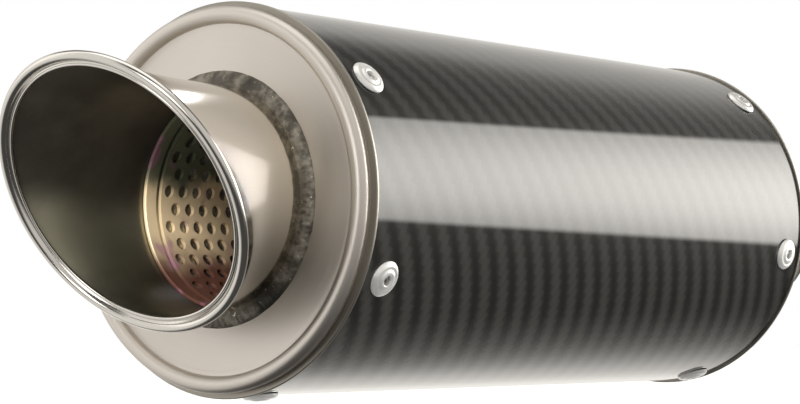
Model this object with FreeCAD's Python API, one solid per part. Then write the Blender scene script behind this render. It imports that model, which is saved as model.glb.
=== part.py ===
"""Motorcycle slip-on exhaust muffler, modelled as the separate pieces it is built from.

Frame: millimetres, +Z up.  The origin is the centre of the inlet pipe's open mouth, and +X runs
along the muffler's axis towards that mouth, so the whole muffler lies on the -X side of it.
Angles about the axis start at +Y, the hidden side with the hanger, and turn towards +Z.
"""
import FreeCAD
import Part
import math
import os

Vector = FreeCAD.Vector

# ---- driving dimensions ------------------------------------------------------------------

# carbon sleeve
SLEEVE_R = 50.0
SLEEVE_WALL = 1.8
SLEEVE_LENGTH = 209.0
INLET_END_X = -50.0                      # the sleeve's edge at the inlet end
OUTLET_END_X = INLET_END_X - SLEEVE_LENGTH

# L-section end rings: a skirt riveted inside the sleeve, a thin flange over the sleeve's edge
SLIDE_FIT = 0.05                         # radial clearance of parts that slide together
RING_WALL = 1.05
RING_SKIRT = 16.0
RING_FLANGE = 0.9
RING_FLANGE_R = 50.7

# pressed end caps
CAP_SHEET = 1.2
CAP_WALL_R = 49.3
OUTLET_FACE = 3.0                        # the cap's flat face, measured out from the sleeve's edge
CAP_BEAD_R = 2.25                        # rolled bead round the rim of the outlet cap
CAP_GROOVE_DEPTH = 0.5
CAP_GROOVE_WIDTH = 1.6
CAP_SHOULDER = 3.0                       # the rounded step from the inlet cap's wall to its cone
SHOULDER_BULGE_X = 1.0                   # its arc passes this far before the cone's start
SHOULDER_BULGE_R = 0.45                  # and this far below the wall
CONE_OUT = 3.5                           # the cone's start, out from the ring's flange
CONE_LENGTH = 16.0
NECK_LENGTH = 4.0

# outlet tube and its flared, slash-cut mouth
TUBE_R = 29.2
TUBE_WALL = 1.15
TUBE_INSERT = 14.0                       # how far the tube reaches inside the sleeve
FLARE_START = 10.0                       # distance out from the sleeve's edge
MOUTH_OUT = 37.2                         # distance of the mouth's centre from the sleeve's edge
MOUTH_R = 36.35
MOUTH_TILT = 28.9                        # degrees, the top of the mouth leans outwards
FLARE_POWER = 2.2
FLARE_SECTIONS = 7
RIM_WIRE_R = 1.85

# perforated core and its packing
CORE_R = 28.0
CORE_WALL = 1.0
CORE_OUTLET_END = 4.6                    # distances inwards from the outlet edge of the sleeve
CORE_INLET_END = SLEEVE_LENGTH - 1.0
COLLAR_LOW = -1.2                        # the plain collar in the tube, just outside the core's end
COLLAR_HIGH = 3.0
WOOL_R = 31.5
PACKING_R = 46.9
PACKING_GAP = 12.0                       # clear length kept at both ends for the rivets' tails

# inlet pipe: a slip-on socket with saw cuts that let the clamp close it
INLET_R = 25.5
INLET_PIPE_R = 26.9
INLET_PIPE_END = INLET_END_X - 14.0
SLOT_WIDTH = 3.0
SLOT_LENGTH = 20.0
SLOT_COUNT = 4

# blind rivets, 4.8 mm
RIVET_COUNT = 6
RIVET_SHANK_R = 2.4
RIVET_HOLE_R = 2.45
RIVET_HEAD_R = 4.75
RIVET_HEAD_HEIGHT = 1.5
RIVET_EDGE_HEIGHT = 0.35
RIVET_CROWN_R = 2.0
RIVET_TAIL_LENGTH = 1.5
RIVET_SEAT_GAP = 0.02
RIVET_BORE_R = 1.3
RIVET_TAIL_R = 3.3
PIN_R = 1.25
PIN_BULB_R = 2.1
PIN_SUNK = 0.75                          # how far the broken pin ends below the head's top
PIN_BULB_LENGTH = 1.5
OUTLET_RIVET_X = OUTLET_END_X + 7.9
INLET_RIVET_X = INLET_END_X - 7.75
OUTLET_RIVET_PHASE = 24.15
INLET_RIVET_PHASE = 12.0

# weld beads
OUTLET_WELD_WALL_LEG = 3.7
OUTLET_WELD_PIPE_LEG = 2.2
INLET_WELD_PIPE_LEG = 2.6
WELD_FULLNESS = 0.62                     # the bead's bulge, as a share of its legs
HANGER_WELD_LEG = 2.6

# hanger tab, rubber grommet and steel bush for an M8 bolt
TAB_THICK = 4.0
EYE_X = -28.0
EYE_Y = 60.0
EYE_R = 14.0
EYE_HOLE_R = 9.5
GROMMET_FLANGE_R = 12.6
GROMMET_FLANGE = 2.2
BUSH_R = 6.0
BUSH_BORE_R = 4.1
BUSH_FLANGE_R = 9.0
BUSH_FLANGE = 1.4
BUSH_STAND = 0.9                         # how far the bush stands above the grommet

# band clamp on the inlet pipe, closed by an M6 T-bolt
CLAMP_X = -11.0
CLAMP_WIDTH = 14.0
CLAMP_SHEET = 0.9
CLAMP_R = INLET_PIPE_R + SLIDE_FIT
LOOP_R = 5.2                             # the band's ends are rolled into loops round two barrels
LOOP_Z = 10.0
LOOP_WINDOW_R = 3.6
BARREL_R = 4.25
BARREL_LENGTH = 16.0
BOLT_R = 3.0
BOLT_PLAY = 0.05
BOLT_HEAD_ACROSS = 10.0
BOLT_HEAD_HEIGHT = 4.0
BOLT_END_Z = 29.0
SADDLE_LENGTH = 12.0
SADDLE_WIDTH = 9.0
SADDLE_LOW = 2.5                         # the saddle's edges and back, above the barrel's centre
SADDLE_HIGH = 6.5
NUT_HEIGHT = 4.6
INSERT_HEIGHT = 1.6
INSERT_R = 4.1

# derived
SLEEVE_BORE_R = SLEEVE_R - SLEEVE_WALL
RING_R = SLEEVE_BORE_R - SLIDE_FIT
BAND_R = CLAMP_R + CLAMP_SHEET
LOOP_Y = math.sqrt((BAND_R + LOOP_R - CLAMP_SHEET) ** 2 - LOOP_Z ** 2)
NECK_R = INLET_PIPE_R + SLIDE_FIT + CAP_SHEET
CONE_START_X = INLET_END_X + RING_FLANGE + CONE_OUT
CONE_TOP_R = CAP_WALL_R - CAP_SHOULDER / 2
RIVET_TAIL_SEAT = SLEEVE_BORE_R - RING_WALL - 0.25
CONE_END_X = CONE_START_X + CONE_LENGTH
NECK_END_X = CONE_END_X + NECK_LENGTH
X_AXIS = Vector(1, 0, 0)
ORIGIN = Vector(0, 0, 0)

# ---- building blocks ---------------------------------------------------------------------


def cylinder(radius, low, high, centre=ORIGIN, axis=X_AXIS):
    """A cylinder about a line through centre, between two distances along axis."""
    return Part.makeCylinder(radius, high - low, centre + axis * low, axis)


def tube(outer, inner, low, high, centre=ORIGIN, axis=X_AXIS):
    """A straight tube between two distances along axis."""
    return cylinder(outer, low, high, centre, axis).cut(cylinder(inner, low - 1, high + 1, centre, axis))


def outline(start, *steps):
    """A closed flat face in the XZ plane.  A step is a point, or a pair of points for an arc."""
    edges = []
    here = start
    for step in steps + (start,):
        if isinstance(step[0], tuple):
            middle, end = step
            edges.append(Part.Arc(point(here), point(middle), point(end)).toShape())
        else:
            end = step
            edges.append(Part.LineSegment(point(here), point(end)).toShape())
        here = end
    return Part.Face(Part.Wire(edges))


def point(pair):
    """A point of a section: distance along X, then distance from the axis."""
    return Vector(pair[0], 0, pair[1])


def turned(face):
    """The solid that a section makes when it is turned about the muffler's axis."""
    return face.revolve(ORIGIN, X_AXIS, 360)


def around(shape, count, phase):
    """Copies of a shape, evenly spaced about the muffler's axis."""
    copies = []
    for index in range(count):
        copy = shape.copy()
        copy.rotate(ORIGIN, X_AXIS, phase + 360.0 * index / count)
        copies.append(copy)
    return copies


def cut_all(shape, tools):
    """A shape with several tools cut out of it, as one solid."""
    for tool in tools:
        shape = shape.cut(tool)
    return shape.Solids[0]


def rivet_holes(x, phase):
    """Drills for one row of rivet holes."""
    drill = cylinder(RIVET_HOLE_R, SLEEVE_R - 8, SLEEVE_R + 4, Vector(x, 0, 0), Vector(0, 1, 0))
    return around(drill, RIVET_COUNT, phase)


def hexagon(across, low, high, centre):
    """A hexagonal prism about a line through centre, along Z."""
    radius = across / math.sqrt(3)
    corners = []
    for index in range(7):
        angle = math.radians(60 * index)
        corners.append(centre + Vector(radius * math.cos(angle), radius * math.sin(angle), low))
    return Part.Face(Part.makePolygon(corners)).extrude(Vector(0, 0, high - low))


# ---- sleeve and its end rings ------------------------------------------------------------


def carbon_sleeve():
    """The round carbon-fibre outer casing, drilled for both rows of rivets."""
    sleeve = tube(SLEEVE_R, SLEEVE_BORE_R, OUTLET_END_X, INLET_END_X)
    outlet_holes = rivet_holes(OUTLET_RIVET_X, OUTLET_RIVET_PHASE)
    return cut_all(sleeve, outlet_holes + rivet_holes(INLET_RIVET_X, INLET_RIVET_PHASE))


def end_ring(edge_x, outwards, rivet_x, phase):
    """An L-section ring; outwards is +1 or -1, the way its flange faces."""
    flange_x = edge_x + outwards * RING_FLANGE
    skirt_x = edge_x - outwards * RING_SKIRT
    face = outline(
        (flange_x, RING_FLANGE_R),
        (edge_x, RING_FLANGE_R),
        (edge_x, RING_R),
        (skirt_x, RING_R),
        (skirt_x, RING_R - RING_WALL),
        (flange_x, RING_R - RING_WALL),
    )
    return cut_all(turned(face), rivet_holes(rivet_x, phase))


# ---- end caps ----------------------------------------------------------------------------


def outlet_cap():
    """The pressed outlet cap: flat face, shallow groove, rolled bead and short side wall."""
    face_x = OUTLET_END_X - OUTLET_FACE
    back_x = face_x + CAP_SHEET
    wall_x = OUTLET_END_X - RING_FLANGE
    bead_r = CAP_WALL_R - CAP_BEAD_R
    bead_in = bead_r - CAP_BEAD_R
    hollow_r = CAP_BEAD_R - CAP_SHEET
    hole_r = TUBE_R + SLIDE_FIT
    return turned(outline(
        (face_x, hole_r),
        (face_x, bead_in - CAP_GROOVE_WIDTH),
        ((face_x + CAP_GROOVE_DEPTH, bead_in - CAP_GROOVE_WIDTH / 2), (face_x, bead_in)),
        ((face_x - CAP_BEAD_R, bead_r), (face_x, CAP_WALL_R)),
        (wall_x, CAP_WALL_R),
        (wall_x, CAP_WALL_R - CAP_SHEET),
        (face_x, CAP_WALL_R - CAP_SHEET),
        ((face_x - hollow_r, bead_r), (face_x, bead_r - hollow_r)),
        (back_x, bead_r - hollow_r),
        (back_x, hole_r),
    ))


def inlet_cap():
    """The spun inlet cap: a short wall, a round shoulder, a cone, and a neck on the inlet pipe."""
    wall_x = INLET_END_X + RING_FLANGE
    slope = math.atan2(CONE_TOP_R - NECK_R, CONE_LENGTH)
    across = CAP_SHEET * math.sin(slope)
    down = CAP_SHEET * math.cos(slope)
    inner_wall_r = CAP_WALL_R - CAP_SHEET
    bulge = (CONE_START_X - SHOULDER_BULGE_X, CAP_WALL_R - SHOULDER_BULGE_R)
    inner_bulge = (bulge[0] - across / 2, bulge[1] - down)
    return turned(outline(
        (wall_x, CAP_WALL_R),
        (CONE_START_X - CAP_SHOULDER + 0.5, CAP_WALL_R),
        (bulge, (CONE_START_X, CONE_TOP_R)),
        (CONE_END_X, NECK_R),
        (NECK_END_X, NECK_R),
        (NECK_END_X, NECK_R - CAP_SHEET),
        (CONE_END_X - across, NECK_R - CAP_SHEET),
        (CONE_START_X - across, CONE_TOP_R - down),
        (inner_bulge, (CONE_START_X - CAP_SHOULDER, inner_wall_r)),
        (wall_x, inner_wall_r),
    ))


# ---- outlet tip --------------------------------------------------------------------------


def mouth_frame(share):
    """Centre and axis of a section of the flare, from 0 at its start to 1 at the mouth."""
    start_x = OUTLET_END_X - FLARE_START
    centre = Vector(start_x - share * (MOUTH_OUT - FLARE_START), 0, 0)
    tilt = math.radians(MOUTH_TILT * share)
    return centre, Vector(-math.cos(tilt), 0, -math.sin(tilt))


def flare(wall):
    """The solid of the flare, its radius reduced by wall."""
    rings = []
    for index in range(FLARE_SECTIONS):
        share = index / (FLARE_SECTIONS - 1)
        centre, axis = mouth_frame(share)
        radius = TUBE_R + (MOUTH_R - TUBE_R) * share ** FLARE_POWER - wall
        rings.append(Part.Wire(Part.makeCircle(radius, centre, axis)))
    return Part.makeLoft(rings, True, False)


def outlet_tip():
    """The outlet tube, which flares into a mouth cut at a slant."""
    start_x = OUTLET_END_X - FLARE_START
    end_x = OUTLET_END_X + TUBE_INSERT
    body = cylinder(TUBE_R, start_x, end_x).fuse(flare(0))
    bore_r = TUBE_R - TUBE_WALL
    bore = cylinder(bore_r, start_x, end_x + 1).fuse(flare(TUBE_WALL))
    return body.cut(bore).Solids[0]


def tip_rim():
    """The round wire ring that the mouth's edge is rolled over."""
    centre, axis = mouth_frame(1.0)
    return Part.makeTorus(MOUTH_R, RIM_WIRE_R, centre, axis)


def ring_weld(corner_x, corner_r, outwards, wall_leg, pipe_leg):
    """A fillet bead in the corner between a wall and a pipe; outwards is the way it faces."""
    middle = (corner_x + outwards * WELD_FULLNESS * pipe_leg, corner_r + WELD_FULLNESS * wall_leg)
    return turned(outline(
        (corner_x, corner_r),
        (corner_x, corner_r + wall_leg),
        (middle, (corner_x + outwards * pipe_leg, corner_r)),
    ))


# ---- core and packing --------------------------------------------------------------------


def perforated_core():
    """The gas tube through the packing, modelled without its punched holes."""
    low = OUTLET_END_X + CORE_OUTLET_END
    return tube(CORE_R, CORE_R - CORE_WALL, low, OUTLET_END_X + CORE_INLET_END)


def core_collar():
    """The plain ring in the outlet tube that shields the core's end."""
    return tube(CORE_R, CORE_R - CORE_WALL, OUTLET_END_X + COLLAR_LOW, OUTLET_END_X + COLLAR_HIGH)


def steel_wool_wrap():
    """The layer of stainless wool wound straight on the core."""
    low = OUTLET_END_X + TUBE_INSERT + 1
    return tube(WOOL_R, CORE_R + SLIDE_FIT, low, INLET_END_X - PACKING_GAP)


def glass_packing():
    """The glass-fibre blanket between the steel wool and the sleeve."""
    low = OUTLET_END_X + PACKING_GAP
    return tube(PACKING_R, WOOL_R + SLIDE_FIT, low, INLET_END_X - PACKING_GAP)


# ---- rivets ------------------------------------------------------------------------------


def rivet_body():
    """A blind rivet's body on the +Y side at X = 0, its axis along Y."""
    seat = SLEEVE_R + RIVET_SEAT_GAP
    top = seat + RIVET_HEAD_HEIGHT
    tail = RIVET_TAIL_SEAT
    face = outline(
        (RIVET_BORE_R, top - 0.3),
        (RIVET_CROWN_R, top),
        ((3.7, top - 0.42), (RIVET_HEAD_R, seat + RIVET_EDGE_HEIGHT)),
        (RIVET_HEAD_R, seat),
        (RIVET_SHANK_R, seat),
        (RIVET_SHANK_R, tail),
        (RIVET_TAIL_R, tail - 0.25),
        (RIVET_TAIL_R, tail - 0.9),
        (RIVET_SHANK_R, tail - RIVET_TAIL_LENGTH),
        (RIVET_BORE_R, tail - RIVET_TAIL_LENGTH),
    )
    return spun_along_y(face)


def rivet_pin():
    """The broken-off pull pin left inside a blind rivet, with its bulb below the tail."""
    top = SLEEVE_R + RIVET_HEAD_HEIGHT - PIN_SUNK
    bulb = RIVET_TAIL_SEAT - RIVET_TAIL_LENGTH - SLIDE_FIT
    face = outline(
        (0, top + 0.2),
        ((PIN_R * 0.6, top + 0.14), (PIN_R, top)),
        (PIN_R, bulb),
        (PIN_BULB_R, bulb - 0.2),
        ((PIN_BULB_R * 0.85, bulb - 1.0), (PIN_BULB_R * 0.4, bulb - PIN_BULB_LENGTH)),
        (0, bulb - PIN_BULB_LENGTH),
    )
    return spun_along_y(face)


def spun_along_y(face):
    """Turn a section about its own axis and stand that axis along +Y.

    The section's first number is the distance from the piece's axis, its second the distance
    from the muffler's axis.
    """
    solid = face.revolve(ORIGIN, Vector(0, 0, 1), 360)
    solid.rotate(ORIGIN, X_AXIS, -90)
    return solid


def rivet_row(shape, x, phase):
    """One row of rivets or pins round the sleeve, as separate solids."""
    shape.translate(Vector(x, 0, 0))
    return Part.makeCompound(around(shape, RIVET_COUNT, phase))


# ---- inlet pipe --------------------------------------------------------------------------


def inlet_pipe():
    """The slip-on inlet socket, with saw cuts at its mouth."""
    pipe = tube(INLET_PIPE_R, INLET_R, INLET_PIPE_END, 0)
    half = SLOT_WIDTH / 2
    slot = Part.makeBox(SLOT_LENGTH, SLOT_WIDTH, 12, Vector(-SLOT_LENGTH + half, -half, INLET_R - 5))
    round_end = cylinder(half, INLET_R - 5, INLET_R + 7, Vector(-SLOT_LENGTH + half, 0, 0), Vector(0, 0, 1))
    return cut_all(pipe, around(slot.fuse(round_end), SLOT_COUNT, 45.0))


# ---- hanger ------------------------------------------------------------------------------


def cone_radius(x):
    """The outside radius of the inlet cap's cone at x."""
    share = (x - CONE_START_X) / CONE_LENGTH
    return CONE_TOP_R + (NECK_R - CONE_TOP_R) * share


def hanger_tab():
    """A flat tab welded edge-on to the inlet cap, with a round eye for the grommet."""
    low_x = CONE_START_X + 2
    high_x = CONE_END_X - 2
    corners = [
        Vector(low_x, cone_radius(low_x), 0),
        Vector(high_x, cone_radius(high_x), 0),
        Vector(EYE_X + EYE_R * math.sin(math.radians(75)), EYE_Y - EYE_R * math.cos(math.radians(75)), 0),
        Vector(EYE_X - EYE_R * math.sin(math.radians(30)), EYE_Y + EYE_R * math.cos(math.radians(30)), 0),
    ]
    web = Part.Face(Part.makePolygon(corners + corners[:1])).extrude(Vector(0, 0, TAB_THICK))
    eye_centre = Vector(EYE_X, EYE_Y, 0)
    up = Vector(0, 0, 1)
    tab = web.fuse(cylinder(EYE_R, 0, TAB_THICK, eye_centre, up)).removeSplitter()
    tab = tab.cut(cylinder(EYE_HOLE_R, -1, TAB_THICK + 1, eye_centre, up))
    tab.translate(Vector(0, 0, -TAB_THICK / 2))
    return tab.Solids[0]


def hanger_weld():
    """Two straight fillet beads, one along each face of the tab, where it meets the cone."""
    low_x = CONE_START_X + 3
    high_x = CONE_END_X - 3
    start = Vector(low_x, cone_radius(low_x), 0)
    along = Vector(high_x, cone_radius(high_x), 0) - start
    outward = Vector(-along.y, along.x, 0)
    outward.normalize()
    root = TAB_THICK / 2
    beads = []
    for side in (-1, 1):
        corners = [
            start - outward * 0.3 + Vector(0, 0, side * root),
            start + outward * HANGER_WELD_LEG + Vector(0, 0, side * root),
            start - outward * 0.3 + Vector(0, 0, side * (root + HANGER_WELD_LEG)),
        ]
        beads.append(Part.Face(Part.makePolygon(corners + corners[:1])).extrude(along))
    return Part.makeCompound(beads)


def eye_section(*points):
    """Turn a section about the hanger eye's vertical axis; points are (radius, height)."""
    face = outline(*points)
    solid = face.revolve(ORIGIN, Vector(0, 0, 1), 360)
    solid.translate(Vector(EYE_X, EYE_Y, 0))
    return solid


def hanger_grommet():
    """The rubber grommet: a groove that grips the tab between two flanges."""
    groove = TAB_THICK / 2 + SLIDE_FIT
    top = groove + GROMMET_FLANGE
    bore = BUSH_R + SLIDE_FIT
    waist = EYE_HOLE_R - SLIDE_FIT
    rounding = 0.7
    return eye_section(
        (bore, -top),
        (GROMMET_FLANGE_R - rounding, -top),
        (GROMMET_FLANGE_R, -top + rounding),
        (GROMMET_FLANGE_R, -groove),
        (waist, -groove),
        (waist, groove),
        (GROMMET_FLANGE_R, groove),
        (GROMMET_FLANGE_R, top - rounding),
        (GROMMET_FLANGE_R - rounding, top),
        (bore, top),
    )


def hanger_bush():
    """The flanged steel bush that keeps the hanger bolt from crushing the grommet."""
    grommet_top = TAB_THICK / 2 + SLIDE_FIT + GROMMET_FLANGE
    flange_x = -grommet_top - SLIDE_FIT
    return eye_section(
        (BUSH_BORE_R, flange_x - BUSH_FLANGE),
        (BUSH_FLANGE_R, flange_x - BUSH_FLANGE),
        (BUSH_FLANGE_R, flange_x),
        (BUSH_R, flange_x),
        (BUSH_R, grommet_top + BUSH_STAND),
        (BUSH_BORE_R, grommet_top + BUSH_STAND),
    )


# ---- clamp -------------------------------------------------------------------------------

BOLT_LINE = Vector(CLAMP_X, LOOP_Y, 0)
UP = Vector(0, 0, 1)


def clamp_band():
    """The band round the inlet pipe; each end is rolled into a loop round a barrel."""
    low = CLAMP_X - CLAMP_WIDTH / 2
    high = CLAMP_X + CLAMP_WIDTH / 2
    band = tube(BAND_R, CLAMP_R, low, high)
    band = band.cut(Part.makeBox(CLAMP_WIDTH + 2, 20, 2 * LOOP_Z, Vector(low - 1, CLAMP_R - 8, -LOOP_Z)))
    for side in (-1, 1):
        loop_centre = Vector(0, LOOP_Y, side * LOOP_Z)
        band = band.fuse(cylinder(LOOP_R, low, high, loop_centre))
    for side in (-1, 1):
        loop_centre = Vector(0, LOOP_Y, side * LOOP_Z)
        band = band.cut(cylinder(BARREL_R + BOLT_PLAY, low - 1, high + 1, loop_centre))
    band = band.cut(cylinder(CLAMP_R, low - 1, high + 1))
    window = cylinder(LOOP_WINDOW_R, -LOOP_Z - LOOP_R - 1, LOOP_Z + LOOP_R + 1, BOLT_LINE, UP)
    return band.cut(window).Solids[0]


def clamp_barrels():
    """Two round cross barrels, each drilled for the bolt."""
    barrels = []
    half = BARREL_LENGTH / 2
    bolt_way = cylinder(BOLT_R + BOLT_PLAY, -LOOP_Z - LOOP_R, LOOP_Z + LOOP_R, BOLT_LINE, UP)
    for side in (-1, 1):
        barrel = cylinder(BARREL_R, CLAMP_X - half, CLAMP_X + half, Vector(0, LOOP_Y, side * LOOP_Z))
        barrels.append(barrel.cut(bolt_way).Solids[0])
    return Part.makeCompound(barrels)


def clamp_saddle(side):
    """A saddle whose hollow underside sits on a loop, with a flat back for the head or the nut."""
    low_x = CLAMP_X - SADDLE_LENGTH / 2
    low_y = LOOP_Y - SADDLE_WIDTH / 2
    block = Part.makeBox(
        SADDLE_LENGTH, SADDLE_WIDTH, SADDLE_HIGH - SADDLE_LOW, Vector(low_x, low_y, LOOP_Z + SADDLE_LOW))
    block = block.cut(cylinder(LOOP_R + SLIDE_FIT, low_x - 1, -low_x, Vector(0, LOOP_Y, LOOP_Z)))
    block = block.cut(cylinder(BOLT_R + BOLT_PLAY, 0, LOOP_Z + SADDLE_HIGH + 1, BOLT_LINE, UP))
    if side < 0:
        block.rotate(BOLT_LINE, X_AXIS, 180)
    return block.Solids[0]


def clamp_bolt():
    """The M6 bolt: a hexagon head on the lower saddle and a plain cylinder for the threads."""
    head_z = -LOOP_Z - SADDLE_HIGH - 0.02
    head = hexagon(BOLT_HEAD_ACROSS, head_z - BOLT_HEAD_HEIGHT, head_z, BOLT_LINE)
    shank = cylinder(BOLT_R, head_z - 1, BOLT_END_Z, BOLT_LINE, UP)
    return head.fuse(shank).removeSplitter().Solids[0]


def clamp_nut():
    """The locking nut on the upper saddle, with a collar that holds its nylon ring."""
    seat = LOOP_Z + SADDLE_HIGH + 0.05
    top = seat + NUT_HEIGHT + INSERT_HEIGHT
    nut = hexagon(BOLT_HEAD_ACROSS, seat, seat + NUT_HEIGHT, BOLT_LINE)
    collar = cylinder(BOLT_HEAD_ACROSS / 2 - 0.1, seat + NUT_HEIGHT - 1, top, BOLT_LINE, UP)
    nut = nut.fuse(collar).cut(cylinder(BOLT_R + BOLT_PLAY, seat - 1, top + 1, BOLT_LINE, UP))
    seat_r = INSERT_R + BOLT_PLAY
    return nut.cut(cylinder(seat_r, top - INSERT_HEIGHT, top + 1, BOLT_LINE, UP)).Solids[0]


def clamp_nut_insert():
    """The nylon locking ring in the nut's collar."""
    low = LOOP_Z + SADDLE_HIGH + 0.05 + NUT_HEIGHT + BOLT_PLAY
    return tube(INSERT_R, BOLT_R + BOLT_PLAY, low, low + INSERT_HEIGHT - 0.2, BOLT_LINE, UP)


# ---- all pieces --------------------------------------------------------------------------


def pieces():
    """Every node's name and shape."""
    face_x = OUTLET_END_X - OUTLET_FACE
    return {
        "carbon_sleeve": carbon_sleeve(),
        "outlet_ring": end_ring(OUTLET_END_X, -1, OUTLET_RIVET_X, OUTLET_RIVET_PHASE),
        "outlet_cap": outlet_cap(),
        "outlet_tip": outlet_tip(),
        "tip_rim": tip_rim(),
        "outlet_weld": ring_weld(face_x, TUBE_R, -1, OUTLET_WELD_WALL_LEG, OUTLET_WELD_PIPE_LEG),
        "outlet_rivets": rivet_row(rivet_body(), OUTLET_RIVET_X, OUTLET_RIVET_PHASE),
        "outlet_rivet_pins": rivet_row(rivet_pin(), OUTLET_RIVET_X, OUTLET_RIVET_PHASE),
        "perforated_core": perforated_core(),
        "core_collar": core_collar(),
        "steel_wool_wrap": steel_wool_wrap(),
        "glass_packing": glass_packing(),
        "inlet_ring": end_ring(INLET_END_X, 1, INLET_RIVET_X, INLET_RIVET_PHASE),
        "inlet_cap": inlet_cap(),
        "inlet_pipe": inlet_pipe(),
        "inlet_weld": ring_weld(NECK_END_X, INLET_PIPE_R, 1, NECK_R - INLET_PIPE_R, INLET_WELD_PIPE_LEG),
        "inlet_rivets": rivet_row(rivet_body(), INLET_RIVET_X, INLET_RIVET_PHASE),
        "inlet_rivet_pins": rivet_row(rivet_pin(), INLET_RIVET_X, INLET_RIVET_PHASE),
        "hanger_tab": hanger_tab(),
        "hanger_weld": hanger_weld(),
        "hanger_grommet": hanger_grommet(),
        "hanger_bush": hanger_bush(),
        "clamp_band": clamp_band(),
        "clamp_barrels": clamp_barrels(),
        "clamp_bolt": clamp_bolt(),
        "clamp_head_saddle": clamp_saddle(-1),
        "clamp_nut_saddle": clamp_saddle(1),
        "clamp_nut": clamp_nut(),
        "clamp_nut_insert": clamp_nut_insert(),
    }


os.makedirs("parts", exist_ok=True)
for name, shape in pieces().items():
    shape.exportStep("parts/" + name + ".step")
    size = shape.BoundBox
    low = (round(size.XMin, 1), round(size.YMin, 1), round(size.ZMin, 1))
    high = (round(size.XMax, 1), round(size.YMax, 1), round(size.ZMax, 1))
    print(name, "valid" if shape.isValid() else "NOT VALID", len(shape.Solids), round(shape.Volume), low, high)
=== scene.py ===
"""Looks of the slip-on muffler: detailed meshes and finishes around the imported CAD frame.

Lengths are millimetres in the named values and metres in every mesh, and the camera's and lamps'
places are in metres.  Named angles are in degrees.  X runs along the muffler's axis towards its inlet,
angles about the axis start at +Y and turn towards +Z.
"""
import math

import bmesh
import bpy
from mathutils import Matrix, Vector, noise


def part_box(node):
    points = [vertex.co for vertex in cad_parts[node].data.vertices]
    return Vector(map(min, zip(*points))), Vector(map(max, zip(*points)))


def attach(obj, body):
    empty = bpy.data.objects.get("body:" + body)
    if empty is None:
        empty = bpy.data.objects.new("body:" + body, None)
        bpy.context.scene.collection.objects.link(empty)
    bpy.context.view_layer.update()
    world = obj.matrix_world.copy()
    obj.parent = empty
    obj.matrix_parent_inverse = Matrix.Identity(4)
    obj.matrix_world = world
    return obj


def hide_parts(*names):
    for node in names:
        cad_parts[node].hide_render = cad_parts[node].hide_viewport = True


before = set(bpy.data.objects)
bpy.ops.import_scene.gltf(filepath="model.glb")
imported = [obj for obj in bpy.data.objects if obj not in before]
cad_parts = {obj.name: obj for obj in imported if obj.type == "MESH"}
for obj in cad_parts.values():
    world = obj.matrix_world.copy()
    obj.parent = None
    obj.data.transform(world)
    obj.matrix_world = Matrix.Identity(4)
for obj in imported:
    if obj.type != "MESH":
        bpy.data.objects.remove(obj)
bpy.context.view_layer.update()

MM = 0.001
FULL_TURN = 2 * math.pi

# ---- places read from the frame ----------------------------------------------------------


def low_mm(node):
    """Lowest corner of a CAD node, in millimetres."""
    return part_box(node)[0] / MM


def high_mm(node):
    """Highest corner of a CAD node, in millimetres."""
    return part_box(node)[1] / MM


OUTLET_EDGE = low_mm("carbon_sleeve").x
INLET_EDGE = high_mm("carbon_sleeve").x
SLEEVE_R = high_mm("carbon_sleeve").y
SLEEVE_WALL = 1.8
CAP_WALL_R = high_mm("outlet_cap").y
CAP_SHEET = 1.2
CAP_FACE = OUTLET_EDGE - 3.0
RING_R = high_mm("outlet_ring").y
RING_FLANGE = 0.9
CAP_BEAD = 2.25
CAP_GROOVE = 1.6
CAP_GROOVE_DEPTH = 0.03
SKIRT_R = SLEEVE_R - SLEEVE_WALL - 0.05
SKIRT_LENGTH = 16.0
TUBE_R = 29.2
TUBE_WALL = 1.15
FLARE_START = OUTLET_EDGE - 10.0
FLARE_POWER = 2.2
MOUTH_X = OUTLET_EDGE - 37.2
MOUTH_R = 36.35
MOUTH_TILT = 28.9
RIM_R = 1.85
CORE_R = high_mm("perforated_core").y
RIVET_COUNT = 6
RIVET_PHASE = {"outlet": 24.15, "inlet": 12.0}
PIPE_R = high_mm("inlet_pipe").y
PIPE_BORE = 25.5
NECK_R = PIPE_R + 1.25
CONE_START = INLET_EDGE + RING_FLANGE + 3.5
SHOULDER = 2.5
SHOULDER_DROP = 1.5
CONE_LENGTH = 16.0
NECK_END = CONE_START + CONE_LENGTH + 4.0
CONE_TOP_R = CAP_WALL_R - SHOULDER_DROP
EYE = (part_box("hanger_bush")[0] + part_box("hanger_bush")[1]) / (2 * MM)
BOLT = (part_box("clamp_bolt")[0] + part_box("clamp_bolt")[1]) / (2 * MM)

# ---- mesh tools --------------------------------------------------------------------------


def arc(centre, radius, start, end, steps=10):
    """Points of a section's arc, from one angle to another, in degrees."""
    points = []
    for step in range(steps + 1):
        angle = math.radians(start + (end - start) * step / steps)
        points.append((centre[0] + radius * math.cos(angle), centre[1] + radius * math.sin(angle)))
    return points


def on_axis(distance, radius, angle):
    """A point at a distance along the muffler's axis, a radius and an angle about it."""
    return Vector((distance, radius * math.cos(angle), radius * math.sin(angle)))


def on_eye(radius, height, angle):
    """A point about the hanger eye's upright axis."""
    return EYE + Vector((radius * math.cos(angle), radius * math.sin(angle), height))


def skin(name, rings, closed_ring=True, closed_path=True):
    """One mesh over rings of points in millimetres; both directions may close on themselves."""
    mesh = bpy.data.meshes.new(name)
    count = len(rings[0])
    vertices = [point * MM for ring in rings for point in ring]
    faces = []
    for row in range(len(rings) if closed_path else len(rings) - 1):
        below = (row + 1) % len(rings)
        for column in range(count if closed_ring else count - 1):
            beside = (column + 1) % count
            faces.append((row * count + column, row * count + beside,
                          below * count + beside, below * count + column))
    mesh.from_pydata(vertices, [], faces)
    piece = bpy.data.objects.new(name, mesh)
    bpy.context.scene.collection.objects.link(piece)
    face_outwards(piece)
    return piece


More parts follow.
